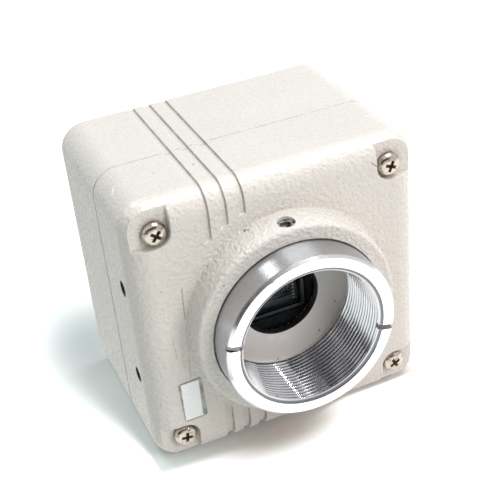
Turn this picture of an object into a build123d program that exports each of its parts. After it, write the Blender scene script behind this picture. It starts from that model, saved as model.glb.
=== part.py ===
"""Machine vision camera: a square two-part die-cast housing with a screw-adjusted lens mount.

Frame: the origin is the centre of the lens flange, on the optical axis. +Y runs into the
camera, +X is to the right seen from the front, +Z is up. All sizes are in millimetres.
"""

from build123d import *
from math import sqrt
import os

# Housing
body_width = 52.0
body_height = 52.0
front_shell_depth = 16.0
rear_shell_depth = 20.0
corner_radius = 4.6
front_edge_step = 0.4
back_edge_radius = 0.8
wall = 2.4
front_wall = 2.6
parting_bevel = 0.15

# Raised boss around the lens mount, and the collar behind it
boss_height = 5.1
boss_front_radius = 18.0
boss_base_radius = 18.45
boss_edge_radius = 0.7
boss_base_blend = 0.4
boss_foot = 0.8
collar_wall = 2.2
collar_length = 2.0

# Three shallow channels that run over the top, the front and the underside
channel_count = 3
channel_pitch = 3.1
channel_width = 1.4
channel_depth = 0.45
channel_middle_x = -9.4
channel_stop_radius = 21.0

# Lens mount ring, with the standard one-inch lens thread
lens_thread_core_radius = 12.35
thread_relief_radius = 12.95
thread_relief_length = 1.3
mouth_radius = 13.0
mouth_chamfer = 0.4
ring_radius = 15.25
ring_rim_chamfer = 0.4
ring_projection = 10.5
ring_back_gap = 0.68
ring_thread_clearance = 0.05
ring_mouth_clearance = 0.25
ring_mouth_depth = 1.0
aperture_radius = 7.0
web_thickness = 1.2
spanner_slot_width = 0.95
spanner_slot_depth = 1.1
spanner_slot_angle = -13.5

# Filter glass and its spring ring, in a recess behind the aperture
filter_radius = 9.0
filter_thickness = 1.0
filter_gap = 0.05
spring_ring_thickness = 0.4
spring_ring_width = 1.2
spring_ring_opening = 40.0

# Lock screw of the lens mount ring
lock_screw_radius = 1.5
lock_screw_length = 2.5
lock_screw_depth = 2.8
lock_screw_key = 1.5
lock_screw_key_depth = 1.2
lock_screw_chamfer = 0.25
lock_screw_gap = 0.05
screw_fit = 0.03

# Four corner screws
screw_inset = 5.2
screw_head_radius = 2.1
screw_head_height = 1.6
screw_head_rim = 0.55
screw_head_top_radius = 0.9
screw_radius = 1.25
screw_length = 20.0
screw_hole_radius = 1.5
screw_tip_room = 1.0
screw_cross_length = 2.5
screw_cross_width = 0.7
screw_cross_depth = 1.0
screw_cross_taper = 12.0
pocket_radius = 2.45
pocket_depth = 1.45
pocket_wall = 1.9
pocket_edge_blend = 0.3
post_radius = 3.1

# Tapped holes in the two sides, and the tripod socket in the underside
side_hole_radius = 1.25
side_hole_spacing = 18.0
side_hole_setback = 6.3
side_hole_depth = 4.0
side_pad_radius = 3.0
side_pad_thickness = 5.0
tripod_core_radius = 2.6
tripod_floor = 1.5
tripod_boss_radius = 5.5
tripod_board_gap = 1.0
tripod_setback = 26.0

# Lips of the rear shell that locate it in the front shell
lip_length = 26.0
lip_thickness = 1.0
lip_height = 1.2
lip_root = 3.0
lip_clearance = 0.1

# Image sensor
flange_focal_distance = 17.526
die_width = 6.2
die_height = 5.0
die_thickness = 0.5
die_side_gap = 0.6
die_end_gap = 0.7
ledge_side = 1.1
ledge_end = 1.0
package_rim_side = 1.3
package_rim_end = 1.5
package_base = 1.0
package_ledge = 0.45
die_to_glass = 0.6
glass_thickness = 0.6
glass_lap = 0.4
glass_corner = 0.3
pad_count = 12
pad_size = 0.26
pad_margin = 0.16
pad_thickness = 0.08
lead_count = 7
lead_inset = 1.1
lead_end = 1.2
lead_size = 0.5
lead_hole_size = 0.7
lead_overhang = 0.8
lead_seat = 0.4
shield_height = 26.0
shield_post_gap = 1.7
shield_wall = 1.6
shield_plate = 0.8
shield_gap = 0.15

# Circuit boards and what carries them
board_side_gap = 3.6
board_post_gap = 0.4
board_thickness = 1.2
board_corner = 1.0
sensor_board_gap = 0.6
board_hole_inset_x = 3.0
board_hole_inset_z = 4.5
board_hole_radius = 1.15
board_post_radius = 2.3
spacer_across_flats = 4.0
spacer_solid = 1.0
stud_radius = 1.0
stud_length = 3.2
stud_hole_radius = 1.05
board_screw_head_radius = 1.8
board_screw_head_height = 1.2
board_screw_length = 4.0
board_screw_slot = 0.5
header_pins = 12
header_pitch = 1.27
header_end = 1.0
header_width = 4.4
header_waist = 0.6
header_edge_gap = 2.3

# Parts on the boards: sizes, and gaps to their neighbours
processor_size = 13.0
processor_thickness = 1.4
chip_bevel = 0.2
chip_gap = 2.5
memory_width = 8.0
memory_thickness = 1.1
memory_gap = 1.4
memory_spacer_gap = 0.7
memory_header_gap = 3.1
memory_edge_gap = 3.8
oscillator_width = 5.0
oscillator_height = 3.2
oscillator_thickness = 1.2
oscillator_corner = 0.6
oscillator_shift = 8.0
inductor_size = 7.0
inductor_height = 3.4
inductor_corner = 1.5
inductor_gap = 1.4
inductor_board_gap = 0.5
capacitor_radius = 2.5
capacitor_height = 5.2
capacitor_edge = 0.4
capacitor_gap = 1.4
capacitor_board_gap = 2.5

# Cable connector in the back
socket_radius = 5.75
socket_bore_radius = 4.7
socket_projection = 6.8
socket_flange_radius = 7.2
socket_flange_thickness = 1.0
socket_inside_length = 5.6
socket_hole_clearance = 0.05
socket_edge = 0.3
nut_across_flats = 14.0
nut_thickness = 1.8
insert_recess = 5.0
insert_clearance = 0.02
key_width = 1.1
key_depth = 0.4
pin_radius = 0.35
pin_clearance = 0.02
pin_projection = 3.8
outer_pins = 8
outer_pin_circle = 3.2
inner_pins = 4
inner_pin_circle = 1.3
pin_tail = 0.6
pin_hole_radius = 0.45
connector_board_size = 15.0
connector_board_corner = 1.0
connector_board_gap = 1.2
connector_header_width = 3.0
connector_header_length = 9.0
connector_header_height = 3.27
connector_header_edge_gap = 0.6

# Paper label on the front, left blank
label_width = 4.2
label_height = 8.4
label_thickness = 0.12
label_boss_gap = 0.3
label_z = -13.1
label_tilt = -2.0
label_corner = 0.3

# Places along the optical axis, measured from the flange: the housing
front_y = ring_projection
boss_y = front_y - boss_height
parting_y = front_y + front_shell_depth
back_y = parting_y + rear_shell_depth
front_cavity_y = front_y + front_wall
collar_y = front_cavity_y + collar_length
rear_cavity_y = back_y - wall
pocket_y = front_y + pocket_depth
side_hole_y = front_y + side_hole_setback
tripod_y = front_y + tripod_setback
lock_screw_y = front_y - lock_screw_depth

# The sensor, from the focal plane out to both sides
die_back_y = flange_focal_distance + die_thickness
ledge_y = die_back_y - package_ledge
glass_back_y = flange_focal_distance - die_to_glass
glass_y = glass_back_y - glass_thickness
package_back_y = die_back_y + package_base

# The mount ring, from its back, which leaves room in front of the sensor, to its web
ring_back_y = glass_y - ring_back_gap
spring_ring_y = ring_back_y - filter_gap - spring_ring_thickness
filter_y = spring_ring_y - filter_gap - filter_thickness
web_y = filter_y - filter_gap - web_thickness

# The connector and the boards
socket_front_y = back_y - socket_inside_length
socket_back_y = back_y + socket_projection
insert_y = socket_back_y - insert_recess
connector_board_y = socket_front_y - connector_board_gap - board_thickness
sensor_board_y = package_back_y + sensor_board_gap
sensor_board_back_y = sensor_board_y + board_thickness
power_board_back_y = connector_board_y - connector_header_height
power_board_y = power_board_back_y - board_thickness
spacer_length = (power_board_y - sensor_board_back_y - board_thickness) / 2
video_board_y = sensor_board_back_y + spacer_length
video_board_back_y = video_board_y + board_thickness

# Places across the optical axis: the housing
front_edge_radius = corner_radius - front_edge_step
bore_radius = ring_radius + ring_thread_clearance
screw_x = body_width / 2 - screw_inset
screw_z = body_height / 2 - screw_inset
pocket_edge_x = screw_x - pocket_radius
pocket_edge_z = screw_z - pocket_radius
cavity_x = body_width - 2 * wall
cavity_z = body_height - 2 * wall
cavity_corner = corner_radius - wall
lock_screw_base = ring_radius + lock_screw_gap
screw_places = [(x, z) for x in (-screw_x, screw_x) for z in (-screw_z, screw_z)]

# The boards and what is on them
board_width = cavity_x - 2 * board_side_gap
board_height = 2 * (screw_z - post_radius - board_post_gap)
board_hole_x = board_width / 2 - board_hole_inset_x
board_hole_z = board_height / 2 - board_hole_inset_z
board_places = [(x, z) for x in (-board_hole_x, board_hole_x) for z in (-board_hole_z, board_hole_z)]
spacer_corner = spacer_across_flats / sqrt(3)
header_length = header_pins * header_pitch + 2 * header_end
header_z = header_edge_gap + header_width / 2 - board_height / 2
memory_low = header_z + header_width / 2 + memory_header_gap
memory_height = (board_height / 2 - memory_edge_gap - memory_low - memory_gap) / 2
memory_x = board_hole_x - spacer_corner - memory_spacer_gap - memory_width / 2
processor_z = memory_low + memory_height + memory_gap / 2
processor_x = memory_x - memory_width / 2 - chip_gap - processor_size / 2
oscillator_z = processor_z - processor_size / 2 - chip_gap - oscillator_height / 2
inductor_x = -(connector_board_size / 2 + inductor_board_gap + inductor_size / 2)
capacitor_x = connector_board_size / 2 + capacitor_board_gap + capacitor_radius
connector_header_z = connector_header_edge_gap + (connector_header_width - connector_board_size) / 2
tripod_boss_height = (body_height - board_height) / 2 - tripod_board_gap

# The sensor package
cavity_width = die_width + 2 * die_side_gap
cavity_height = die_height + 2 * die_end_gap
window_width = cavity_width + 2 * ledge_side
window_height = cavity_height + 2 * ledge_end
glass_width = window_width + 2 * glass_lap
glass_height = window_height + 2 * glass_lap
package_width = window_width + 2 * package_rim_side
package_height = window_height + 2 * package_rim_end
pad_x = (cavity_width + window_width) / 4
pad_pitch = (window_height - pad_size - 2 * pad_margin) / (pad_count - 1)
lead_row_x = package_width / 2 - lead_inset
lead_pitch = (package_height - 2 * lead_end) / (lead_count - 1)
shield_width = 2 * (board_hole_x - board_post_radius - shield_post_gap)
label_x = -(boss_base_radius + label_boss_gap)


def across(y):
    """Plane square to the optical axis at a depth y, facing the front."""
    return Plane.XZ.offset(-y)


def save(part, name):
    """Label a finished piece and write it to its own file."""
    part.label = name
    export_step(part, f"parts/{name}.step")


os.makedirs("parts", exist_ok=True)

# Cutter for the channels: a band that follows the top, the front and the underside,
# and stops on the front at a circle round the lens mount
with BuildPart() as channel_cutter:
    first_x = channel_middle_x - channel_pitch * (channel_count - 1) / 2
    for number in range(channel_count):
        left_side = first_x + number * channel_pitch - channel_width / 2
        with BuildSketch(Plane.YZ.offset(left_side)):
            with BuildLine():
                FilletPolyline(
                    (back_y + wall, body_height / 2),
                    (front_y, body_height / 2),
                    (front_y, -body_height / 2),
                    (back_y + wall, -body_height / 2),
                    radius=front_edge_radius,
                )
                Line((back_y + wall, -body_height / 2), (back_y + wall, body_height / 2))
            make_face()
            offset(amount=-channel_depth, mode=Mode.SUBTRACT)
        extrude(amount=channel_width)
    with BuildSketch(across(front_y)):
        Circle(channel_stop_radius)
    extrude(amount=-(back_y - front_y + 2 * wall), mode=Mode.SUBTRACT)

# Front housing shell
with BuildPart() as front_housing:
    # Outer block with rounded front edges
    with BuildSketch(across(parting_y)):
        RectangleRounded(body_width, body_height, corner_radius)
    extrude(amount=front_shell_depth)
    fillet(front_housing.faces().sort_by(Axis.Y)[0].edges(), front_edge_radius)
    chamfer(front_housing.faces().sort_by(Axis.Y)[-1].edges(), parting_bevel)

    # Raised boss round the lens mount, with a soft edge and a blended foot
    with BuildSketch(Plane.XY):
        with BuildLine():
            FilletPolyline(
                (0, boss_y),
                (boss_front_radius, boss_y),
                (boss_base_radius, front_y),
                (boss_base_radius + boss_foot, front_y),
                radius=(boss_edge_radius, boss_base_blend),
            )
            Polyline(
                (boss_base_radius + boss_foot, front_y),
                (boss_base_radius + boss_foot, front_cavity_y),
                (0, front_cavity_y),
                (0, boss_y),
            )
        make_face()
    revolve(axis=Axis.Y)

    # Cavity behind the front wall
    with BuildSketch(across(parting_y)):
        RectangleRounded(cavity_x, cavity_z, cavity_corner)
    extrude(amount=parting_y - front_cavity_y, mode=Mode.SUBTRACT)

    # Thickened corners behind the screw pockets, and the screw posts
    with BuildSketch(across(front_cavity_y)):
        RectangleRounded(cavity_x, cavity_z, cavity_corner)
        Rectangle(cavity_x, 2 * (pocket_edge_z - pocket_wall), mode=Mode.SUBTRACT)
        Rectangle(2 * (pocket_edge_x - pocket_wall), cavity_z, mode=Mode.SUBTRACT)
    extrude(amount=-pocket_wall)
    with BuildSketch(across(front_cavity_y)):
        with Locations(*screw_places):
            Circle(post_radius)
    extrude(amount=-(parting_y - front_cavity_y))

    # Collar that lengthens the seat of the mount ring, and posts for the sensor board
    with BuildSketch(across(front_cavity_y)):
        Circle(bore_radius + collar_wall)
    extrude(amount=-collar_length)
    with BuildSketch(across(front_cavity_y)):
        with Locations(*board_places):
            Circle(board_post_radius)
    extrude(amount=-(sensor_board_y - front_cavity_y))

    # Pads inside the side walls for the tapped side holes
    for side in (-1, 1):
        with BuildSketch(Plane.YZ.offset(side * (body_width / 2 - side_pad_thickness))):
            with Locations((side_hole_y, 0)):
                with GridLocations(0, side_hole_spacing, 1, 2):
                    Circle(side_pad_radius)
        extrude(amount=side * (side_pad_thickness - wall / 2))

    # Seat of the mount ring, wider at its mouth
    with BuildSketch(across(collar_y)):
        Circle(bore_radius)
    extrude(amount=collar_y - boss_y, mode=Mode.SUBTRACT)
    with BuildSketch(across(boss_y)):
        Circle(ring_radius + ring_mouth_clearance)
    extrude(amount=-ring_mouth_depth, mode=Mode.SUBTRACT)

    # Corner pockets for the screw heads, open to the outside, and the screw holes
    with BuildSketch(across(pocket_y)):
        Rectangle(body_width, body_height)
        with BuildSketch(across(pocket_y), mode=Mode.PRIVATE) as cross_shape:
            Rectangle(2 * pocket_edge_x, body_height)
            Rectangle(body_width, 2 * pocket_edge_z)
            inner_corners = cross_shape.vertices().group_by(SortBy.DISTANCE)[0]
            fillet(inner_corners, pocket_radius)
        add(cross_shape.sketch, mode=Mode.SUBTRACT)
    extrude(amount=pocket_depth + boss_height, mode=Mode.SUBTRACT)
    rim_edges = front_housing.edges(Select.LAST).filter_by(Axis.Y, reverse=True)
    rim_edges = rim_edges.filter_by_position(Axis.Y, front_y - screw_fit, pocket_y - screw_fit)
    fillet(rim_edges, pocket_edge_blend)
    with BuildSketch(across(pocket_y)):
        with Locations(*screw_places):
            Circle(screw_hole_radius)
    extrude(amount=-(parting_y - pocket_y), mode=Mode.SUBTRACT)

    # Tapped holes: board posts, sides and lock screw
    with BuildSketch(across(sensor_board_y)):
        with Locations(*board_places):
            Circle(stud_hole_radius)
    extrude(amount=stud_length, mode=Mode.SUBTRACT)
    for side in (-1, 1):
        with BuildSketch(Plane.YZ.offset(side * body_width / 2)):
            with Locations((side_hole_y, 0)):
                with GridLocations(0, side_hole_spacing, 1, 2):
                    Circle(side_hole_radius)
        extrude(amount=-side * side_hole_depth, mode=Mode.SUBTRACT)
    with BuildSketch(Plane.XY):
        with Locations((0, lock_screw_y)):
            Circle(lock_screw_radius + screw_fit)
    extrude(amount=boss_base_radius + wall, mode=Mode.SUBTRACT)

    add(channel_cutter.part, mode=Mode.SUBTRACT)
save(front_housing.part, "front_housing")

# Rear housing shell
with BuildPart() as rear_housing:
    with BuildSketch(across(back_y)):
        RectangleRounded(body_width, body_height, corner_radius)
    extrude(amount=back_y - parting_y)
    fillet(rear_housing.faces().sort_by(Axis.Y)[-1].edges(), back_edge_radius)
    chamfer(rear_housing.faces().sort_by(Axis.Y)[0].edges(), parting_bevel)
    with BuildSketch(across(rear_cavity_y)):
        RectangleRounded(cavity_x, cavity_z, cavity_corner)
    extrude(amount=rear_cavity_y - parting_y, mode=Mode.SUBTRACT)

    # Posts for the corner screws
    with BuildSketch(across(rear_cavity_y)):
        with Locations(*screw_places):
            Circle(post_radius)
    extrude(amount=rear_cavity_y - parting_y)
    with BuildSketch(across(parting_y)):
        with Locations(*screw_places):
            Circle(screw_radius + screw_fit)
    extrude(amount=-(pocket_y + screw_length + screw_tip_room - parting_y), mode=Mode.SUBTRACT)

    # Locating lips: a root on the inside of each wall, and a lip that enters the front shell
    with BuildSketch(across(parting_y + lip_root)):
        Rectangle(lip_length, cavity_z)
        Rectangle(cavity_x, lip_length)
        Rectangle(
            cavity_x - 2 * (lip_clearance + lip_thickness),
            cavity_z - 2 * (lip_clearance + lip_thickness),
            mode=Mode.SUBTRACT,
        )
    extrude(amount=lip_root)
    with BuildSketch(across(parting_y)):
        Rectangle(lip_length, cavity_z - 2 * lip_clearance)
        Rectangle(cavity_x - 2 * lip_clearance, lip_length)
        Rectangle(
            cavity_x - 2 * (lip_clearance + lip_thickness),
            cavity_z - 2 * (lip_clearance + lip_thickness),
            mode=Mode.SUBTRACT,
        )
    extrude(amount=lip_height)

    # Tripod socket in the underside
    with BuildSketch(Plane.XY.offset(-body_height / 2 + tripod_boss_height)):
        with Locations((0, tripod_y)):
            Circle(tripod_boss_radius)
    extrude(amount=-(tripod_boss_height - wall / 2))
    with BuildSketch(Plane.XY.offset(-body_height / 2)):
        with Locations((0, tripod_y)):
            Circle(tripod_core_radius)
    extrude(amount=tripod_boss_height - tripod_floor, mode=Mode.SUBTRACT)

    # Hole for the cable connector
    with BuildSketch(across(back_y)):
        Circle(socket_radius + socket_hole_clearance)
    extrude(amount=2 * wall, mode=Mode.SUBTRACT)
    add(channel_cutter.part, mode=Mode.SUBTRACT)
save(rear_housing.part, "rear_housing")

# Lens mount ring, turned about the optical axis
with BuildPart() as lens_mount_ring:
    with BuildSketch(Plane.XY):
        with BuildLine():
            Polyline(
                (mouth_radius, 0),
                (ring_radius - ring_rim_chamfer, 0),
                (ring_radius, ring_rim_chamfer),
                (ring_radius, ring_back_y),
                (filter_radius + filter_gap, ring_back_y),
                (filter_radius + filter_gap, web_y + web_thickness),
                (aperture_radius, web_y + web_thickness),
                (aperture_radius, web_y),
                (thread_relief_radius, web_y),
                (thread_relief_radius, web_y - thread_relief_length),
                (lens_thread_core_radius, web_y - thread_relief_length),
                (lens_thread_core_radius, mouth_chamfer),
                close=True,
            )
        make_face()
    revolve(axis=Axis.Y)
    with BuildSketch(across(0).rotated((0, 0, spanner_slot_angle))):
        Rectangle(2 * ring_radius + wall, spanner_slot_width)
    extrude(amount=-spanner_slot_depth, mode=Mode.SUBTRACT)
save(lens_mount_ring.part, "lens_mount_ring")

# Filter glass behind the aperture, and the split spring ring that holds it
with BuildPart() as ir_filter:
    with BuildSketch(across(filter_y)):
        Circle(filter_radius)
    extrude(amount=-filter_thickness)
save(ir_filter.part, "ir_filter")

with BuildPart() as filter_spring_ring:
    with BuildSketch(across(spring_ring_y)):
        Circle(filter_radius)
        Circle(filter_radius - spring_ring_width, mode=Mode.SUBTRACT)
        with BuildLine():
            upper_side = PolarLine((0, 0), 2 * filter_radius, spring_ring_opening / 2)
            lower_side = PolarLine((0, 0), 2 * filter_radius, -spring_ring_opening / 2)
            Line(upper_side @ 1, lower_side @ 1)
        make_face(mode=Mode.SUBTRACT)
    extrude(amount=-spring_ring_thickness)
save(filter_spring_ring.part, "filter_spring_ring")

# Lock screw in the top of the boss, with a hexagon socket
with BuildPart() as lock_screw:
    lock_screw_plane = Plane.XY.offset(lock_screw_base)
    with BuildSketch(lock_screw_plane):
        with Locations((0, lock_screw_y)):
            Circle(lock_screw_radius)
    extrude(amount=lock_screw_length)
    chamfer(lock_screw.faces().sort_by(Axis.Z)[0].edges(), lock_screw_chamfer)
    with BuildSketch(lock_screw_plane.offset(lock_screw_length)):
        with Locations((0, lock_screw_y)):
            RegularPolygon(lock_screw_key / 2, 6, major_radius=False)
    extrude(amount=-lock_screw_key_depth, mode=Mode.SUBTRACT)
save(lock_screw.part, "lock_screw")

# Four corner screws with domed cross-recessed heads
with BuildPart() as corner_screw:
    with BuildSketch(Plane.XY):
        with BuildLine():
            Polyline(
                (screw_head_top_radius, pocket_y - screw_head_height),
                (0, pocket_y - screw_head_height),
                (0, pocket_y + screw_length),
                (screw_radius, pocket_y + screw_length),
                (screw_radius, pocket_y),
                (screw_head_radius, pocket_y),
                (screw_head_radius, pocket_y - screw_head_rim),
            )
            TangentArc(
                (screw_head_top_radius, pocket_y - screw_head_height),
                (screw_head_radius, pocket_y - screw_head_rim),
                tangent=(1, 0),
            )
        make_face()
    revolve(axis=Axis.Y)
    with BuildSketch(across(pocket_y - screw_head_height)):
        Rectangle(screw_cross_length, screw_cross_width)
        Rectangle(screw_cross_width, screw_cross_length)
    extrude(amount=-screw_cross_depth, taper=screw_cross_taper, mode=Mode.SUBTRACT)
with BuildPart() as corner_screws:
    with Locations(*[(x, 0, z) for x, z in screw_places]):
        add(corner_screw.part)
save(corner_screws.part, "corner_screws")

# Image sensor: ceramic package with a stepped cavity
with BuildPart() as sensor_package:
    with BuildSketch(across(package_back_y)):
        Rectangle(package_width, package_height)
    extrude(amount=package_back_y - glass_back_y)
    with BuildSketch(across(ledge_y)):
        Rectangle(window_width, window_height)
    extrude(amount=ledge_y - glass_back_y, mode=Mode.SUBTRACT)
    with BuildSketch(across(die_back_y)):
        Rectangle(cavity_width, cavity_height)
    extrude(amount=die_back_y - ledge_y, mode=Mode.SUBTRACT)
    with BuildSketch(across(package_back_y)):
        with GridLocations(2 * lead_row_x, lead_pitch, 2, lead_count):
            Rectangle(lead_size, lead_size)
    extrude(amount=lead_seat, mode=Mode.SUBTRACT)
save(sensor_package.part, "sensor_package")

with BuildPart() as sensor_die:
    with BuildSketch(across(die_back_y)):
        Rectangle(die_width, die_height)
    extrude(amount=die_thickness)
save(sensor_die.part, "sensor_die")

with BuildPart() as sensor_cover_glass:
    with BuildSketch(across(glass_back_y)):
        RectangleRounded(glass_width, glass_height, glass_corner)
    extrude(amount=glass_thickness)
save(sensor_cover_glass.part, "sensor_cover_glass")

# Gold bond pads on the ledges beside the die
with BuildPart() as sensor_bond_pads:
    with BuildSketch(across(ledge_y)):
        with GridLocations(2 * pad_x, pad_pitch, 2, pad_count):
            Rectangle(pad_size, pad_size)
    extrude(amount=pad_thickness)
save(sensor_bond_pads.part, "sensor_bond_pads")

with BuildPart() as sensor_leads:
    with BuildSketch(across(package_back_y - lead_seat)):
        with GridLocations(2 * lead_row_x, lead_pitch, 2, lead_count):
            Rectangle(lead_size, lead_size)
    extrude(amount=-(sensor_board_back_y + lead_overhang - package_back_y + lead_seat))
save(sensor_leads.part, "sensor_leads")

# Shield against stray light: an open-backed box round the sensor
with BuildPart() as light_shield:
    with BuildSketch(across(sensor_board_y)):
        Rectangle(shield_width, shield_height)
    extrude(amount=sensor_board_y - glass_y)
    with BuildSketch(across(sensor_board_y)):
        Rectangle(shield_width - 2 * shield_wall, shield_height - 2 * shield_wall)
    extrude(amount=sensor_board_y - glass_y - shield_plate, mode=Mode.SUBTRACT)
    with BuildSketch(across(sensor_board_y)):
        Rectangle(package_width + 2 * shield_gap, package_height + 2 * shield_gap)
    extrude(amount=sensor_board_y - glass_y, mode=Mode.SUBTRACT)
save(light_shield.part, "light_shield")


def board(front, name, lead_holes=False):
    """A circuit board with fixing holes near its corners, and holes for the sensor's leads."""
    with BuildPart() as plate:
        with BuildSketch(across(front)):
            RectangleRounded(board_width, board_height, board_corner)
            with Locations(*board_places):
                Circle(board_hole_radius, mode=Mode.SUBTRACT)
            if lead_holes:
                with GridLocations(2 * lead_row_x, lead_pitch, 2, lead_count):
                    Rectangle(lead_hole_size, lead_hole_size, mode=Mode.SUBTRACT)
        extrude(amount=-board_thickness)
    save(plate.part, name)


board(sensor_board_y, "sensor_board", lead_holes=True)
board(video_board_y, "video_board")
board(power_board_y, "power_board")


def spacers(front, name):
    """Four hexagon spacers, each with a stud at its front and a tapped hole at its back."""
    with BuildPart() as group:
        with BuildSketch(across(front)):
            with Locations(*board_places):
                RegularPolygon(spacer_across_flats / 2, 6, major_radius=False)
        extrude(amount=-spacer_length)
        with BuildSketch(across(front + spacer_length)):
            with Locations(*board_places):
                Circle(stud_hole_radius)
        extrude(amount=spacer_length - spacer_solid, mode=Mode.SUBTRACT)
        with BuildSketch(across(front)):
            with Locations(*board_places):
                Circle(stud_radius)
        extrude(amount=stud_length)
    save(group.part, name)


spacers(sensor_board_back_y, "front_spacers")
spacers(video_board_back_y, "rear_spacers")

# Four screws that hold the power board to the rear spacers
with BuildPart() as board_screws:
    with BuildSketch(across(power_board_back_y)):
        with Locations(*board_places):
            Circle(board_screw_head_radius)
    extrude(amount=-board_screw_head_height)
    with BuildSketch(across(power_board_back_y + board_screw_head_height)):
        with Locations(*board_places):
            Rectangle(screw_cross_length, board_screw_slot)
            Rectangle(board_screw_slot, screw_cross_length)
    extrude(amount=board_screw_head_height / 2, mode=Mode.SUBTRACT)
    with BuildSketch(across(power_board_back_y)):
        with Locations(*board_places):
            Circle(stud_radius)
    extrude(amount=board_screw_length)
save(board_screws.part, "board_screws")


def header(front, back, length, width, z, name):
    """A two-part board-to-board connector, narrower round its parting line."""
    with BuildPart() as block:
        with BuildSketch(across(front)):
            with Locations((0, z)):
                Rectangle(length, width)
        extrude(amount=-(back - front))
        with BuildSketch(across((front + back - header_waist) / 2)):
            with Locations((0, z)):
                Rectangle(length, width)
                Rectangle(length - header_waist, width - header_waist, mode=Mode.SUBTRACT)
        extrude(amount=-header_waist, mode=Mode.SUBTRACT)
    save(block.part, name)


header(sensor_board_back_y, video_board_y, header_length, header_width, header_z, "front_header")
header(video_board_back_y, power_board_y, header_length, header_width, header_z, "rear_header")
header(
    power_board_back_y,
    connector_board_y,
    connector_header_length,
    connector_header_width,
    connector_header_z,
    "connector_header",
)

# Chips on the back of the video board
with BuildPart() as processor_chip:
    with BuildSketch(across(video_board_back_y)):
        with Locations((processor_x, processor_z)):
            Rectangle(processor_size, processor_size)
    extrude(amount=-processor_thickness)
    chamfer(processor_chip.faces().sort_by(Axis.Y)[-1].edges(), chip_bevel)
save(processor_chip.part, "processor_chip")

with BuildPart() as memory_chips:
    with BuildSketch(across(video_board_back_y)):
        with Locations((memory_x, processor_z)):
            with GridLocations(0, memory_height + memory_gap, 1, 2):
                Rectangle(memory_width, memory_height)
    extrude(amount=-memory_thickness)
save(memory_chips.part, "memory_chips")

with BuildPart() as oscillator_can:
    with BuildSketch(across(video_board_back_y)):
        with Locations((processor_x - oscillator_shift, oscillator_z)):
            RectangleRounded(oscillator_width, oscillator_height, oscillator_corner)
    extrude(amount=-oscillator_thickness)
save(oscillator_can.part, "oscillator_can")

# Inductors and capacitors on the back of the power board
with BuildPart() as power_inductors:
    with BuildSketch(across(power_board_back_y)):
        with Locations((inductor_x, 0)):
            with GridLocations(0, inductor_size + inductor_gap, 1, 2):
                RectangleRounded(inductor_size, inductor_size, inductor_corner)
    extrude(amount=-inductor_height)
save(power_inductors.part, "power_inductors")

with BuildPart() as power_capacitors:
    with BuildSketch(across(power_board_back_y)):
        with Locations((capacitor_x, 0)):
            with GridLocations(0, 2 * capacitor_radius + capacitor_gap, 1, 2):
                Circle(capacitor_radius)
    extrude(amount=-capacitor_height)
    chamfer(power_capacitors.faces().group_by(Axis.Y)[-1].edges(), capacitor_edge)
save(power_capacitors.part, "power_capacitors")

# Cable connector in the back wall: shell with an outside flange
with BuildPart() as connector_shell:
    with BuildSketch(Plane.XY):
        with BuildLine():
            Polyline(
                (socket_bore_radius, socket_front_y),
                (socket_radius, socket_front_y),
                (socket_radius, back_y),
                (socket_flange_radius, back_y),
                (socket_flange_radius, back_y + socket_flange_thickness),
                (socket_radius, back_y + socket_flange_thickness),
                (socket_radius, socket_back_y - socket_edge),
                (socket_radius - socket_edge, socket_back_y),
                (socket_bore_radius + socket_edge, socket_back_y),
                (socket_bore_radius, socket_back_y - socket_edge),
                close=True,
            )
        make_face()
    revolve(axis=Axis.Y)
    with BuildSketch(across(socket_back_y)):
        with Locations((0, socket_bore_radius)):
            Rectangle(key_width, 2 * key_depth)
        Circle(socket_bore_radius + key_depth, mode=Mode.INTERSECT)
    extrude(amount=insert_recess, mode=Mode.SUBTRACT)
save(connector_shell.part, "connector_shell")

with BuildPart() as connector_nut:
    with BuildSketch(across(rear_cavity_y)):
        RegularPolygon(nut_across_flats / 2, 6, major_radius=False)
        Circle(socket_radius + socket_hole_clearance, mode=Mode.SUBTRACT)
    extrude(amount=nut_thickness)
save(connector_nut.part, "connector_nut")

# Insulating insert and its twelve pins
with BuildPart() as connector_insert:
    with BuildSketch(across(insert_y)):
        Circle(socket_bore_radius - insert_clearance)
        with PolarLocations(outer_pin_circle, outer_pins):
            Circle(pin_radius + pin_clearance, mode=Mode.SUBTRACT)
        with PolarLocations(inner_pin_circle, inner_pins):
            Circle(pin_radius + pin_clearance, mode=Mode.SUBTRACT)
    extrude(amount=insert_y - socket_front_y)
save(connector_insert.part, "connector_insert")

with BuildPart() as connector_pins:
    with BuildSketch(across(insert_y + pin_projection)):
        with PolarLocations(outer_pin_circle, outer_pins):
            Circle(pin_radius)
        with PolarLocations(inner_pin_circle, inner_pins):
            Circle(pin_radius)
    extrude(amount=insert_y + pin_projection - connector_board_y + pin_tail)
save(connector_pins.part, "connector_pins")

with BuildPart() as connector_board:
    with BuildSketch(across(connector_board_y)):
        RectangleRounded(connector_board_size, connector_board_size, connector_board_corner)
        with PolarLocations(outer_pin_circle, outer_pins):
            Circle(pin_hole_radius, mode=Mode.SUBTRACT)
        with PolarLocations(inner_pin_circle, inner_pins):
            Circle(pin_hole_radius, mode=Mode.SUBTRACT)
    extrude(amount=-board_thickness)
save(connector_board.part, "connector_board")

# Blank paper label on the front, beside the boss
with BuildPart() as blank_label:
    with BuildSketch(across(front_y)):
        with Locations(Location((label_x, label_z), label_tilt)):
            RectangleRounded(label_width, label_height, label_corner)
    extrude(amount=label_thickness)
save(blank_label.part, "blank_label")
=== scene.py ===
# %% [markdown]
# # A machine vision camera
# The camera is a small square casting with a threaded lens ring in its front. Its solids come from the
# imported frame, which is already at its real size, in metres. This lesson gives every solid its finish,
# and replaces the pieces whose fine shape shows, such as the lens ring with its thread.

from math import cos, pi, radians, sin, tau

import bmesh
import bpy
from mathutils import Matrix, Vector


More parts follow.
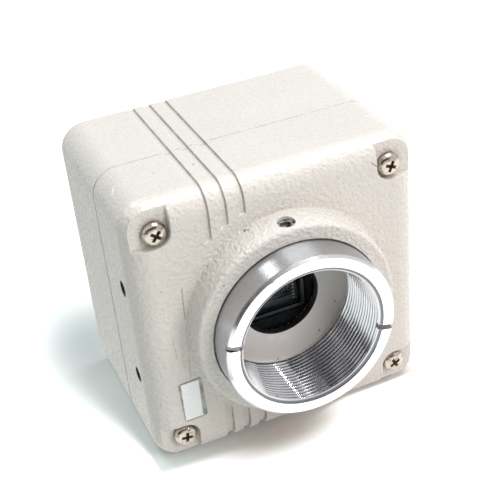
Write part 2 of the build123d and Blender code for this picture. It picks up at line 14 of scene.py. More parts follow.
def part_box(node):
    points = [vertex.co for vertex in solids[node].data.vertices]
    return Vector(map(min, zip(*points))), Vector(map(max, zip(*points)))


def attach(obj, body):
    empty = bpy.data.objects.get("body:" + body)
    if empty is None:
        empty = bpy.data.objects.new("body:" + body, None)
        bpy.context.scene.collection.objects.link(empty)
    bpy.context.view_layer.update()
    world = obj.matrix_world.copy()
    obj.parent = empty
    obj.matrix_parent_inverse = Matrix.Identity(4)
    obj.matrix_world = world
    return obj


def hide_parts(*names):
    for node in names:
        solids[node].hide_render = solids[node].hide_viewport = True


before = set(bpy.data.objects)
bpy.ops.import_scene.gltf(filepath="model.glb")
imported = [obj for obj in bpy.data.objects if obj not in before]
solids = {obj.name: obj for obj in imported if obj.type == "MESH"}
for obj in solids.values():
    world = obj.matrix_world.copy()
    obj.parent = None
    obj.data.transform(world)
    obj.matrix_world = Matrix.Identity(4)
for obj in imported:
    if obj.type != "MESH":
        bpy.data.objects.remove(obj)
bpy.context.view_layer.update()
mm = 0.001
weld = 0.0005 * mm


def give(thing, **settings):
    """Sets the named properties of a thing."""
    for key, value in settings.items():
        setattr(thing, key, value)
    return thing


def add_object(name, data):
    """A new object of the scene."""
    made = bpy.data.objects.new(name, data)
    bpy.context.scene.collection.objects.link(made)
    return made


# %% [markdown]
# ## Places that the frame gives
# The lens ring's front rim is the origin, and the optical axis is Y. The other places come from the boxes
# of the solids, so that a piece made here stays on the piece that carries it.

# %% Places from the frame
body_low, body_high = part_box("front_housing")
ring_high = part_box("lens_mount_ring")[1]
label_low, label_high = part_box("blank_label")
screws_low, screws_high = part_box("corner_screws")
floor_height = body_low[2]
front_face = label_high[1]
half_width = body_high[0]
ring_radius = ring_high[0]
head_radius = 2.1 * mm
screw_offset = (screws_high[0] - screws_low[0]) / 2 - head_radius
print("floor at", round(floor_height / mm, 2), "mm, front face at", round(front_face / mm, 2), "mm")

# %% [markdown]
# ## The camera
# The photograph was taken from the front, to the left of the lens and from above, with the picture turned a
# little. Three directions make the camera's matrix: to the right, up, and back towards the camera.

# %% The camera of the photograph
view_azimuth = radians(-20.565)
view_elevation = radians(32.626)
view_roll = radians(-5.869)
view_distance = 179.763 * mm
view_target = Vector((-5.573 * mm, 10.5 * mm, 13.150 * mm))
sensor_width = 36.0
focal_pixels = 1105.26
picture_pixels = 500

level = cos(view_elevation)
back = Vector((sin(view_azimuth) * level, -cos(view_azimuth) * level, sin(view_elevation)))
level_right = (-back).cross(Vector((0, 0, 1))).normalized()
level_up = level_right.cross(-back)
right = cos(view_roll) * level_right + sin(view_roll) * level_up
up = -sin(view_roll) * level_right + cos(view_roll) * level_up
lens = {"sensor_width": sensor_width, "lens": sensor_width * focal_pixels / picture_pixels}
camera = add_object("photo_camera", give(bpy.data.cameras.new("photo_camera"), clip_start=0.01, **lens))
camera_matrix = Matrix((right, up, back)).transposed().to_4x4()
camera_matrix.translation = view_target + view_distance * back
camera.matrix_world = camera_matrix
bpy.context.scene.camera = camera
print("camera at", [round(v / mm, 1) for v in camera_matrix.translation], "mm")

# %% [markdown]
# ## A short way to write nodes
# Materials, the world and a shape made by Geometry Nodes are all graphs of nodes. This class keeps one graph
# and gives a short call for a node and for the sums that are used most.

# %% Graphs of nodes
class Nodes:
    """The nodes of one graph, which starts empty."""

    def __init__(self, tree):
        self.tree = tree
        tree.nodes.clear()

    def feed(self, socket, value):
        """Gives an input a value, or links it to another node."""
        if isinstance(value, bpy.types.NodeSocket):
            self.tree.links.new(value, socket)
        else:
            socket.default_value = value

    def node(self, kind, inputs=None, **settings):
        """A new node, with its settings and its inputs as values or as links."""
        made = give(self.tree.nodes.new(kind), **settings)
        for key, value in (inputs or {}).items():
            self.feed(made.inputs[key], value)
        return made

    def put(self, kind, inputs=None, **settings):
        """The outputs of a new node."""
        return self.node(kind, inputs, **settings).outputs

    def calc(self, operation, *values, clamp=False):
        """One sum of the Math node."""
        inputs = dict(enumerate(values))
        return self.put("ShaderNodeMath", inputs, operation=operation, use_clamp=clamp)[0]

    def chain(self, operation, values):
        """The same sum again for each further value."""
        result = values[0]
        for value in values[1:]:
            result = self.calc(operation, result, value)
        return result

    def times(self, *values):
        """The product of the values."""
        return self.chain("MULTIPLY", values)

    def plus(self, *values):
        """The sum of the values."""
        return self.chain("ADD", values)

    def most(self, *values):
        """The largest of the values."""
        return self.chain("MAXIMUM", values)

    def minus(self, first, second):
        """The first value less the second."""
        return self.calc("SUBTRACT", first, second)

    def ratio(self, first, second):
        """The first value divided by the second."""
        return self.calc("DIVIDE", first, second)

    def off(self, value, middle):
        """How far a value is from a middle value, to either side."""
        return self.calc("ABSOLUTE", self.minus(value, middle))

    def folded(self, value, middle):
        """A value without its sign, less a middle value."""
        return self.minus(self.calc("ABSOLUTE", value), middle)


print("node calls ready")

# %% [markdown]
# ## Light
# The photograph is a product shot on a white table. A softbox hangs above, a second one stands in front and
# isn't seen by reflections, and a small lamp shines from behind at the left. A narrow beam reaches into the
# ring's mouth. The world is white, and dim grey cards that only reflections see are its dark side.

# %% Lamps and world
object_middle = (0, 0.02, 0)


def facing(place, aim):
    """The turn that points something at a place towards its aim."""
    return (Vector(aim) - Vector(place)).to_track_quat("-Z", "Y")


def lamp(name, kind, place, aim, power, colour, **settings):
    """A lamp at a place in metres, turned towards its aim."""
    data = give(bpy.data.lights.new(name, kind), energy=power, color=colour, **settings)
    return give(add_object(name, data), location=place, rotation_euler=facing(place, aim).to_euler())


def softbox(name, place, aim, width, height, power, colour):
    """A rectangular lamp."""
    size = {"shape": "RECTANGLE", "size": width, "size_y": height}
    return lamp(name, "AREA", place, aim, power, colour, **size)


def sheet(name, width, height, place, material):
    """A flat rectangle, put in its place by a matrix."""
    x, y = width / 2, height / 2
    mesh = bpy.data.meshes.new(name)
    mesh.from_pydata([(-x, -y, 0), (x, -y, 0), (x, y, 0), (-x, y, 0)], [], [(0, 1, 2, 3)])
    mesh.transform(place)
    mesh.materials.append(material)
    return add_object(name, mesh)


def dark_card(name, place, aim, width, height, strength=0.35):
    """A dim grey card that only reflections see."""
    cloth = bpy.data.materials.new(name)
    cloth.use_nodes = True
    n = Nodes(cloth.node_tree)
    glow = n.put("ShaderNodeEmission", {"Color": (0.30, 0.29, 0.29, 1), "Strength": strength})
    n.node("ShaderNodeOutputMaterial", {"Surface": glow[0]})
    turn = Matrix.Translation(place) @ facing(place, aim).to_matrix().to_4x4()
    card = sheet(name, width, height, turn, cloth)
    give(card, visible_camera=False, visible_diffuse=False)
    give(card, visible_transmission=False, visible_shadow=False)


softbox("top_softbox", (0.13, -0.01, 0.43), object_middle, 0.30, 0.26, 1.3, (0.95, 1.0, 1.0))
front = softbox("front_softbox", (0.20, -0.36, 0.30), object_middle, 0.26, 0.26, 1.05, (1.0, 0.965, 0.95))
front.visible_glossy = False
softbox("left_lamp", (-0.118, 0.20, 0.38), (0, 0.005, 0), 0.105, 0.12, 0.44, (0.88, 0.97, 1.0))
narrow = {"spot_size": radians(2.5), "spot_blend": 0.5, "shadow_soft_size": 0.022}
lamp("mouth_beam", "SPOT", (0.27, -0.33, 0.22), (0, 0, 0), 1.7, (1.0, 0.97, 0.95), **narrow)

dark_card("photographers_side", (-0.10, -0.46, 0.33), object_middle, 0.74, 0.30)
dark_card("left_side", (-0.40, -0.30, 0.15), (0, 0.0, 0), 0.42, 0.32)
dark_card("left_table", (-0.095, 0.095, -0.0245), (-0.095, 0.0951, 1.0), 0.13, 0.20, 2.6)
dark_card("dim_wall", (0.0, 0.60, 0.42), object_middle, 1.30, 0.40)

# Surfaces get a dim fill from the world, but pictures, reflections and glass see it white
world = bpy.data.worlds.new("white_room")
bpy.context.scene.world = world
world.use_nodes = True
sky = Nodes(world.node_tree)
path = sky.put("ShaderNodeLightPath")
seen = sky.calc("ADD", path["Is Camera Ray"], path["Is Glossy Ray"], clamp=True)
seen = sky.calc("ADD", seen, path["Is Transmission Ray"], clamp=True)
fill = sky.put("ShaderNodeBackground", {"Color": (0.96, 0.98, 1.0, 1), "Strength": 0.38})
white = sky.put("ShaderNodeBackground", {"Color": (1, 1, 1, 1), "Strength": 1.0})
room = sky.put("ShaderNodeMixShader", {0: seen, 1: fill[0], 2: white[0]})
sky.node("ShaderNodeOutputWorld", {"Surface": room[0]})
bpy.context.scene.view_settings.view_transform = "Standard"

# %% [markdown]
# ## A short way to write materials
# A material is a graph of nodes too. This class adds the calls that its patterns need. Every pattern reads
# Object coordinates, which here are the real places in metres.

# %% The material recipe
class Recipe(Nodes):
    """The node graph of one material."""

    def __init__(self, name):
        self.material = bpy.data.materials.new(name)
        self.material.use_nodes = True
        super().__init__(self.material.node_tree)
        self.shader = self.node("ShaderNodeBsdfPrincipled")
        self.output = self.node("ShaderNodeOutputMaterial", {"Surface": self.shader.outputs[0]})
        self.place = self.put("ShaderNodeTexCoord")["Object"]
        self.x, self.y, self.z = self.put("ShaderNodeSeparateXYZ", {"Vector": self.place})

    def set(self, **inputs):
        """Inputs of the shader, with underscores for the spaces in their names."""
        for key, value in inputs.items():
            self.feed(self.shader.inputs[key.replace("_", " ")], value)

    def step(self, value, low, high, new_low=0.0, new_high=1.0):
        """A soft step from new_low at low to new_high at high."""
        inputs = {"Value": value, "From Min": low, "From Max": high, "To Min": new_low, "To Max": new_high}
        return self.put("ShaderNodeMapRange", inputs, interpolation_type="SMOOTHSTEP")[0]

    def fade(self, value, low, high):
        """A soft step down from 1 at low to 0 at high."""
        return self.step(value, low, high, 1.0, 0.0)

    def noise(self, scale, detail=3.0, roughness=0.5, distortion=0.0):
        """Grey noise with so many features to the metre."""
        inputs = {"Vector": self.place, "Scale": scale, "Detail": detail}
        inputs |= {"Roughness": roughness, "Distortion": distortion}
        return self.put("ShaderNodeTexNoise", inputs)[0]

    def cells(self, scale, vector=None, feature="F1"):
        """Distance to the nearest of scattered points."""
        inputs = {"Vector": vector or self.place, "Scale": scale, "Randomness": 1.0}
        return self.put("ShaderNodeTexVoronoi", inputs, feature=feature)["Distance"]

    def mix(self, factor, first, second):
        """Colour that goes from the first to the second as factor goes from 0 to 1."""
        first, second = ((*c, 1) if isinstance(c, tuple) else c for c in (first, second))
        return self.put("ShaderNodeMix", {0: factor, 6: first, 7: second}, data_type="RGBA")[2]

    def bump(self, height, distance):
        """Surface relief of a height of 0 to 1, times a distance in metres."""
        inputs = {"Height": height, "Distance": distance, "Strength": 1.0}
        return self.put("ShaderNodeBump", inputs)[0]

    def vector(self, operation, *values):
        """One sum of the Vector Math node."""
        return self.put("ShaderNodeVectorMath", dict(enumerate(values)), operation=operation)

    def distance(self, place):
        """Distance from a place given in millimetres."""
        return self.vector("DISTANCE", self.place, tuple(value * mm for value in place))["Value"]

    def near(self, place, size):
        """1 within a small round mark of a size in millimetres, and 0 outside it."""
        return self.fade(self.distance(place), size * 0.6 * mm, size * mm)

    def from_line(self, start, end):
        """Distance from the straight line between two places given in millimetres."""
        start, end = Vector(start) * mm, Vector(end) * mm
        run = end - start
        away = self.vector("SUBTRACT", self.place, start)[0]
        share = self.vector("DOT_PRODUCT", away, run / run.length_squared)["Value"]
        share = self.calc("ADD", share, 0.0, clamp=True)
        nearest = self.put("ShaderNodeVectorMath", {0: run, "Scale": share}, operation="SCALE")[0]
        rest = self.vector("SUBTRACT", away, nearest)[0]
        return self.vector("LENGTH", rest)["Value"]

    def radius(self, x=None, z=None):
        """Distance from the optical axis, or from another axis along Y given by two coordinates."""
        squares = (self.calc("POWER", x or self.x, 2.0), self.calc("POWER", z or self.z, 2.0))
        return self.calc("SQRT", self.plus(*squares))

    def from_screw(self):
        """Distance from the axis of the nearest of the four corner screws."""
        return self.radius(self.folded(self.x, screw_offset), self.folded(self.z, screw_offset))


print("recipe ready")

# %% [markdown]
# ## The paint
# The casting is painted a warm off-white, in a thick coat that dries with a fine pebbled skin. Dirt and
# painted shade darken the pockets round the screws and the foot of the channel walls, a painted contact shadow
# runs along the lower edge, the tapped side holes get painted shade, the end walls of the channels get a
# painted highlight, and a few chips and scratches show. The skin is two sizes of noise and a pattern of cells
# in the bump. The marks at the screws and channels are soft masks worked out from the distance to each screw
# and channel.

# %% The paint
channel_walls = [-11.8 * mm, -8.7 * mm, -5.6 * mm]
channel_stop = 21.0 * mm
rear_length = 20.0 * mm
parting_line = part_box("rear_housing")[1][1] - rear_length
side_hole_z = 9.0 * mm
side_hole_y = front_face + 6.3 * mm
paint_colour = (0.745, 0.694, 0.648)
paint_shade = (0.66, 0.614, 0.57)
dirt_colour = (0.17, 0.135, 0.10)

# Places of the marks in millimetres: specks with their radius, lines with their width, strength and colour
dark_specks = (
    ((-10.1, 20.0, 26.0), 0.3),
    ((-7.0, 22.6, 26.0), 0.14),
    ((-6.3, 10.1, 17.3), 0.3),
    ((-5.8, 9.8, 17.4), 0.22),
    ((-26.0, 15.2, 19.3), 0.2),
    ((-24.3, 12.1, 24.0), 0.25),
    ((-13.2, 10.1, 12.8), 0.2),
    ((-12.5, 5.4, 11.5), 0.17),
    ((-21.3, 10.5, 10.4), 0.16),
    ((-26.0, 42.3, -12.1), 0.4),
    ((-8.8, 5.4, -13.1), 0.09),
)
hairlines = (
    ((-23.9, 20.6, 25.4), (-24.5, 19.8, 25.05), 0.34, 1.0, (0.93, 0.93, 0.91)),
    ((17.1, 10.5, 22.6), (18.2, 10.5, 21.5), 0.13, 0.8, dirt_colour),
    ((-17.95, 10.5, 9.8), (-18.2, 10.5, 1.0), 0.15, 0.55, dirt_colour),
    ((-18.2, 10.5, 1.0), (-18.6, 10.5, -8.4), 0.13, 0.3, dirt_colour),
    ((-20.7, 10.5, 0.4), (-20.5, 10.5, -3.6), 0.12, 0.3, dirt_colour),
)


def paint_material():
    """Warm off-white paint with an orange-peel skin, dirt and painted shade in its corners, a painted
    highlight on the channel ends, and small marks.
    """
    r = Recipe("warm_white_paint")
    patches = r.step(r.noise(55.0, 2.0), 0.35, 0.7)
    mottle = r.step(r.noise(700.0, 3.0), 0.3, 0.75, 0.0, 0.12)
    colour = r.mix(r.times(patches, 0.25), paint_colour, paint_shade)
    colour = r.mix(mottle, colour, paint_shade)
    depth = r.minus(r.y, front_face)
    from_axis = r.radius()

    # Dirt and painted shade round the four screw heads, on the pocket floors
    near_screw = r.fade(r.from_screw(), 2.3 * mm, 3.3 * mm)
    in_pocket = r.times(r.step(depth, 1.2 * mm, 2.0 * mm), r.fade(depth, 2.6 * mm, 3.2 * mm))
    grime = r.times(near_screw, in_pocket, r.step(r.noise(900.0, 4.0), 0.35, 0.62, 0.15, 1.0))

    # Dirt and painted shade along the foot of each channel's right wall
    lines = r.plus(*(r.fade(r.off(r.x, wall), 0.04 * mm, 0.10 * mm) for wall in channel_walls))
    outside = r.step(from_axis, channel_stop + 0.15 * mm, channel_stop + 0.4 * mm)
    not_back = r.fade(r.y, 46.2 * mm, 46.4 * mm)
    lines = r.times(lines, outside, not_back, r.step(r.noise(350.0, 3.0), 0.3, 0.7, 0.1, 0.4))

    # A painted highlight on the end wall of each channel
    end_wall_highlight = r.fade(r.off(from_axis, channel_stop), 0.10 * mm, 0.16 * mm)
    beside = []
    for wall in channel_walls:
        past = r.minus(r.x, wall)
        beside.append(r.times(r.step(past, -1.9 * mm, -1.5 * mm), r.fade(past, -0.15 * mm, -0.05 * mm)))
    sunk = r.times(r.step(depth, 0.01 * mm, 0.05 * mm), r.fade(depth, 0.5 * mm, 0.6 * mm))
    end_wall_highlight = r.times(end_wall_highlight, r.plus(*beside), sunk)

    # The dark parting line between the shells, faint on top and clearer down the sides
    parting = r.fade(r.off(r.y, parting_line), 0.17 * mm, 0.25 * mm)
    below = r.step(r.z, 17.0 * mm, half_width - 1.0 * mm, 1.0, 0.3)
    parting = r.times(parting, below, r.step(r.noise(220.0, 3.0), 0.35, 0.6, 0.7, 1.0))

    # Painted shade inside the tapped side holes
    from_hole = r.radius(r.minus(r.y, side_hole_y), r.folded(r.z, side_hole_z))
    hole = r.times(
        r.fade(from_hole, 1.40 * mm, 1.55 * mm), r.step(r.folded(r.x, half_width), -6.0 * mm, -5.0 * mm)
    )

    # Pin-head pits, scattered thinly over the whole skin
    pits = r.times(r.fade(r.cells(230.0), 0.035, 0.06), r.step(r.noise(90.0, 1.0), 0.58, 0.62), 0.7)
    colour = r.mix(lines, colour, (0.16, 0.155, 0.145))
    colour = r.mix(end_wall_highlight, colour, (0.95, 0.94, 0.92))
    colour = r.mix(r.most(grime, pits), colour, dirt_colour)
    colour = r.mix(r.most(parting, hole), colour, (0.07, 0.065, 0.06))

    # A painted contact shadow along the lower edge, most of it at the front
    above = r.minus(r.z, floor_height)
    painted_contact_shadow = r.times(r.fade(above, 1.05 * mm, 1.5 * mm), r.step(above, 0.02 * mm, 0.1 * mm))
    painted_contact_shadow = r.times(painted_contact_shadow, r.step(r.noise(400.0, 3.0), 0.3, 0.6, 0.35, 0.8))
    painted_contact_shadow = r.times(painted_contact_shadow, r.step(depth, 3.0 * mm, 9.0 * mm, 1.0, 0.12))
    colour = r.mix(painted_contact_shadow, colour, (0.12, 0.105, 0.09))

    # Small dark specks, a white nick on the top left edge and a few hairline scratches
    specks = r.most(*(r.near(place, size) for place, size in dark_specks))
    colour = r.mix(r.times(specks, 0.85), colour, dirt_colour)
    for start, end, width, strength, shade in hairlines:
        line = r.fade(r.from_line(start, end), width * 0.5 * mm, width * mm)
        colour = r.mix(r.times(line, strength), colour, shade)

    # The skin is thicker and more pebbled round the boss, and hands have rubbed the top smoother
    skin = r.noise(1900.0, 1.5, 0.45, 0.4)
    pebbles = r.cells(1500.0, feature="SMOOTH_F1")
    height = r.plus(r.times(skin, 0.9), r.times(pebbles, 0.8), r.times(r.noise(330.0, 1.0), 0.25))
    height = r.times(height, r.step(from_axis, 17.0 * mm, 25.0 * mm, 1.5, 0.95))
    height = r.times(height, r.step(r.z, half_width - 2.5 * mm, half_width - 0.1 * mm, 1.0, 0.45))
    r.set(
        Base_Color=colour,
        Roughness=r.step(skin, 0.3, 0.7, 0.24, 0.36),
        Specular_IOR_Level=0.5,
        Normal=r.bump(height, 0.19 * mm),
    )
    return r.material


paint = paint_material()
print("paint nodes:", len(paint.node_tree.nodes))

# %% [markdown]
# ## Smooth shells from the solids
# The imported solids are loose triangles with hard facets. A copy of each shell has its doubled points merged,
# its flat triangles joined, and its sharp edges rounded by a narrow bevel, as thick paint rounds them.
# Weighted normals then keep the large faces flat while the round edges shade smoothly.

# %% Smooth copies
shell_sharp = 30.0
flat_angle = radians(0.6)


def open_mesh(mesh):
    """A mesh to work on, with its doubled points merged."""
    work = bmesh.new()
    work.from_mesh(mesh)
    bmesh.ops.remove_doubles(work, verts=work.verts, dist=weld)
    return work


def close_mesh(work, mesh):
    """Writes the work back to a mesh."""
    work.to_mesh(mesh)
    work.free()
    return mesh


def shade_smooth(work, sharp):
    """Smooth faces, apart from the edges that turn by more than an angle in degrees."""
    for face in work.faces:
        face.smooth = True
    for edge in work.edges:
        edge.smooth = len(edge.link_faces) == 2 and edge.calc_face_angle(0.0) < radians(sharp)


def smooth_copy(solid_name, piece_name, material, bevel):
    """A shaded copy of a solid, which stands for it."""
    mesh = solids[solid_name].data.copy()
    mesh.name = piece_name
    work = open_mesh(mesh)
    bmesh.ops.dissolve_limit(
        work, angle_limit=flat_angle, verts=work.verts, edges=work.edges, delimit={"NORMAL"}
    )
    shade_smooth(work, shell_sharp)
    close_mesh(work, mesh)
    mesh.materials.clear()
    mesh.materials.append(material)
    piece = add_object(piece_name, mesh)
    rounding = give(piece.modifiers.new("soft_edges", "BEVEL"), width=bevel, segments=2)
    give(rounding, limit_method="ANGLE", angle_limit=radians(shell_sharp))
    give(rounding, use_clamp_overlap=True, harden_normals=False)
    give(piece.modifiers.new("flat_faces", "WEIGHTED_NORMAL"), keep_sharp=True, weight=60)
    print(piece_name, "faces:", len(mesh.polygons))
    return piece


front_shell = smooth_copy("front_housing", "front_shell", paint, 0.16 * mm)
rear_shell = smooth_copy("rear_housing", "rear_shell", paint, 0.12 * mm)
for piece, solid_name in ((front_shell, "front_housing"), (rear_shell, "rear_housing")):
    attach(piece, "camera")
    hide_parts(solid_name)

# %% [markdown]
# ## Turned aluminium
# The lens ring is turned on a lathe, so its faces carry fine rings and its cylinder fine turns, both round
# the optical axis. One noise of a single number, the radius plus the depth, draws both. The flat web
# behind the thread is duller and warmer, which a mask of depth and radius makes.

# %% Metals
slot_angle = radians(12.1)
slot_width = 0.95 * mm
slot_depth = 1.1 * mm
web_depth = (11.9 * mm, 12.6 * mm)
web_painted_highlights = ((-2.3, 12.9, -7.7), (-0.1, 12.9, -8.6))
web_specks = (((10.3, 12.9, -4.4), 0.22), ((6.9, 12.9, -9.5), 0.26), ((-1.5, 12.9, -12.7), 0.2))
rim_scratches = (((-6.6, 0.0, 13.3), (-3.4, 0.0, 12.6)), ((-7.0, 0.0, 13.0), (-4.9, 0.0, 13.6)))


def turned_aluminium():
    """Bright turned aluminium, dull on the web behind the thread."""
    r = Recipe("turned_aluminium")
    around = r.radius()
    lathe = {"W": r.plus(around, r.times(r.y, 0.83)), "Scale": 9000.0, "Detail": 3.0, "Roughness": 0.6}
    turns = r.put("ShaderNodeTexNoise", lathe, noise_dimensions="1D")[0]
    stain = r.step(r.noise(160.0, 4.0), 0.35, 0.75)

    # Masks of the web, the threaded bore, the rim and the outside
    web = r.times(r.step(r.y, *web_depth), r.fade(around, 12.9 * mm, 13.2 * mm))
    bore = r.fade(around, 13.1 * mm, 13.2 * mm)
    threaded = r.times(bore, r.step(r.y, 0.05 * mm, 0.1 * mm), r.fade(r.y, *web_depth))
    rim = r.times(r.fade(r.y, 0.01 * mm, 0.03 * mm), r.step(around, 12.6 * mm, 12.8 * mm))
    outside = r.times(r.step(around, 14.9 * mm, 15.1 * mm), r.step(r.y, 0.38 * mm, 0.46 * mm))

    # The metal is grey on the bore, the thread and the outside cylinder and near white on the rim: shaded
    # copies of one aluminium, painted shade for the dim room that they mirror. The roots of the thread are
    # darker still, painted shade in the grooves.
    bright = r.mix(r.times(stain, 0.35), (0.66, 0.665, 0.675), (0.54, 0.535, 0.53))
    root = r.step(around, 12.45 * mm, 12.72 * mm)
    bright = r.mix(threaded, bright, r.mix(root, (0.56, 0.56, 0.58), (0.16, 0.16, 0.175)))
    bright = r.mix(outside, bright, (0.50, 0.50, 0.51))
    bright = r.mix(rim, bright, (0.95, 0.95, 0.95))

    # The dull web, with two painted highlights, its specks and the dark wall of its hole
    dull = r.mix(stain, (0.97, 0.93, 0.90), (0.90, 0.84, 0.81))
    for place in web_painted_highlights:
        dull = r.mix(r.fade(r.distance(place), 0.3 * mm, 1.2 * mm), dull, (1.0, 0.98, 0.96))
    colour = r.mix(web, bright, dull)
    scattered = r.times(r.fade(r.cells(420.0), 0.05, 0.08), r.step(r.noise(140.0, 1.0), 0.6, 0.64))
    specks = r.most(scattered, *(r.near(place, size) for place, size in web_specks))
    colour = r.mix(r.times(specks, 0.7), colour, (0.08, 0.07, 0.06))
    hole_wall = r.times(web, r.fade(around, 7.16 * mm, 7.22 * mm))
    colour = r.mix(hole_wall, colour, (0.004, 0.004, 0.005))

    # Scratches on the rim, and dirt with painted shade in the two spanner slots
    for start, end in rim_scratches:
        line = r.step(r.from_line(start, end), 0.05 * mm, 0.09 * mm, 0.75, 0.0)
        colour = r.mix(line, colour, (0.16, 0.17, 0.20))
    from_slot = r.plus(r.times(r.x, sin(slot_angle)), r.times(r.z, cos(slot_angle)))
    in_slot = r.fade(r.folded(from_slot, slot_width / 2), 0.01 * mm, 0.03 * mm)
    in_slot = r.times(in_slot, r.step(r.y, 0.02 * mm, 0.06 * mm))
    in_slot = r.times(in_slot, r.fade(r.y, slot_depth, slot_depth + 0.03 * mm))
    slot_dirt_and_shade = r.times(in_slot, r.step(r.noise(1500.0, 2.0), 0.35, 0.65, 0.75, 1.0))
    colour = r.mix(slot_dirt_and_shade, colour, (0.42, 0.40, 0.40))

    gloss = r.plus(r.step(turns, 0.3, 0.7, 0.13, 0.2), r.times(outside, 0.10))
    dull_gloss = r.step(r.noise(1500.0, 2.0), 0.3, 0.7, 0.46, 0.58)
    relief = r.times(turns, r.minus(1.0, threaded), r.minus(1.0, r.times(outside, 0.75)))
    # The turned grooves spread light across themselves, so the shader needs the direction across them
    round_axis = r.put("ShaderNodeCombineXYZ", {"X": r.times(r.z, -1.0), "Z": r.x})[0]
    normal = r.put("ShaderNodeNewGeometry")["Normal"]
    across = r.vector("CROSS_PRODUCT", normal, round_axis)[0]
    r.set(
        Base_Color=colour,
        Metallic=r.minus(1.0, r.times(web, 0.97)),
        Roughness=r.plus(r.times(gloss, r.minus(1.0, web)), r.times(dull_gloss, web)),
        Anisotropic=1.0,
        Normal=r.bump(relief, 0.003 * mm),
        Tangent=r.vector("NORMALIZE", across)[0],
    )
    return r.material


def plated_metal(name, colour, shade, dirt=0.0, metallic=1.0, grain=420.0):
    """Nickel or gold plate, with faint stains and, where dirt is given, scattered patches of it."""
    r = Recipe(name)
    stain = r.step(r.noise(grain, 4.0), 0.38, 0.62)
    grime = r.times(r.step(r.noise(1400.0, 3.0), 0.52, 0.66), dirt)
    r.set(
        Base_Color=r.mix(grime, r.mix(stain, colour, shade), (0.10, 0.08, 0.06)),
        Metallic=metallic,
        Roughness=r.step(r.noise(900.0, 3.0), 0.3, 0.7, 0.2, 0.32),
        Normal=r.bump(r.noise(2600.0, 2.0), 0.003 * mm),
    )
    return r.material


def screw_metal():
    """Worn nickel with dark dirt packed in the cross recess, and a painted shadow under the rim of the head.
    """
    r = Recipe("screw_nickel")
    from_axis = r.from_screw()
    depth = r.minus(r.y, screws_low[1])
    # Dirt in the cross recess, and a painted shadow under the rim of the head
    recess = r.times(r.fade(from_axis, 1.25 * mm, 1.4 * mm), r.step(depth, 0.16 * mm, 0.28 * mm))
    rim = r.times(r.step(from_axis, 1.9 * mm, 2.08 * mm), r.step(depth, 1.1 * mm, 1.3 * mm))
    packed_dirt_and_shade = r.most(recess, rim)
    specks = r.times(r.step(r.noise(1500.0, 3.0), 0.56, 0.64), 0.55)
    stain = r.step(r.noise(420.0, 4.0), 0.35, 0.72)
    nickel = r.mix(stain, (0.56, 0.50, 0.44), (0.44, 0.39, 0.33))
    r.set(
        Base_Color=r.mix(r.most(packed_dirt_and_shade, specks), nickel, (0.13, 0.09, 0.065)),
        Metallic=r.minus(1.0, r.times(packed_dirt_and_shade, 0.85)),
        Roughness=r.step(r.noise(900.0, 3.0), 0.3, 0.7, 0.16, 0.28),
        Normal=r.bump(r.noise(2600.0, 2.0), 0.003 * mm),
    )
    return r.material


aluminium = turned_aluminium()
screw_nickel = screw_metal()
connector_nickel = plated_metal("connector_nickel", (0.74, 0.72, 0.69), (0.62, 0.60, 0.57))
gold_plate = plated_metal("gold_plate", (1.0, 0.82, 0.50), (1.0, 0.76, 0.40), metallic=0.15)
dark_steel = plated_metal("dark_steel", (0.86, 0.87, 0.90), (0.06, 0.06, 0.06), dirt=0.6, grain=1500.0)
spring_steel = plated_metal("spring_steel", (0.45, 0.45, 0.46), (0.35, 0.35, 0.35))
print("metals:", aluminium.name, screw_nickel.name, connector_nickel.name, gold_plate.name)

# %% [markdown]
# ## The lens ring and its thread
# The ring is a profile turned round the optical axis, with the one-inch thread cut into its bore. A Geometry
# Nodes tree turns the profile: a grid gets one column for each step round the axis and one row for each
# point of the profile, and a formula moves the rows marked as thread out and in along a helix. The two
# spanner slots are then cut across the rim by a box.

# %% The turning tree
class Tree(Nodes):
    """A Geometry Nodes tree with named inputs."""

    def __init__(self, name):
        super().__init__(bpy.data.node_groups.new(name, "GeometryNodeTree"))
        self.socket("Geometry", "NodeSocketGeometry", "INPUT")
        self.source = self.node("NodeGroupInput")

    def socket(self, name, kind, in_out):
        """A socket on the outside of the tree."""
        self.tree.interface.new_socket(name, in_out=in_out, socket_type=kind)

    def ask(self, name, kind):
        """A named input of the tree."""
        self.socket(name, "NodeSocket" + kind, "INPUT")
        return self.source.outputs[name]

    def at(self, geometry, value, index, kind):
        """The value that a geometry has at one of its points."""
        inputs = {"Geometry": geometry, "Value": value, "Index": index}
        return self.put("GeometryNodeSampleIndex", inputs, data_type=kind)[0]

    def finish(self, geometry, material):
        """Makes instances real, gives them the material and ends the tree."""
        self.socket("Geometry", "NodeSocketGeometry", "OUTPUT")
        real = self.put("GeometryNodeRealizeInstances", {0: geometry})[0]
        smooth = self.put("GeometryNodeSetShadeSmooth", {"Geometry": real})[0]
        painted = self.put("GeometryNodeSetMaterial", {"Geometry": smooth, "Material": material})[0]
        self.node("NodeGroupOutput", {0: painted})
        return self.tree


seam_angle = 1.3
groove_start, groove_full = 0.12, 0.86


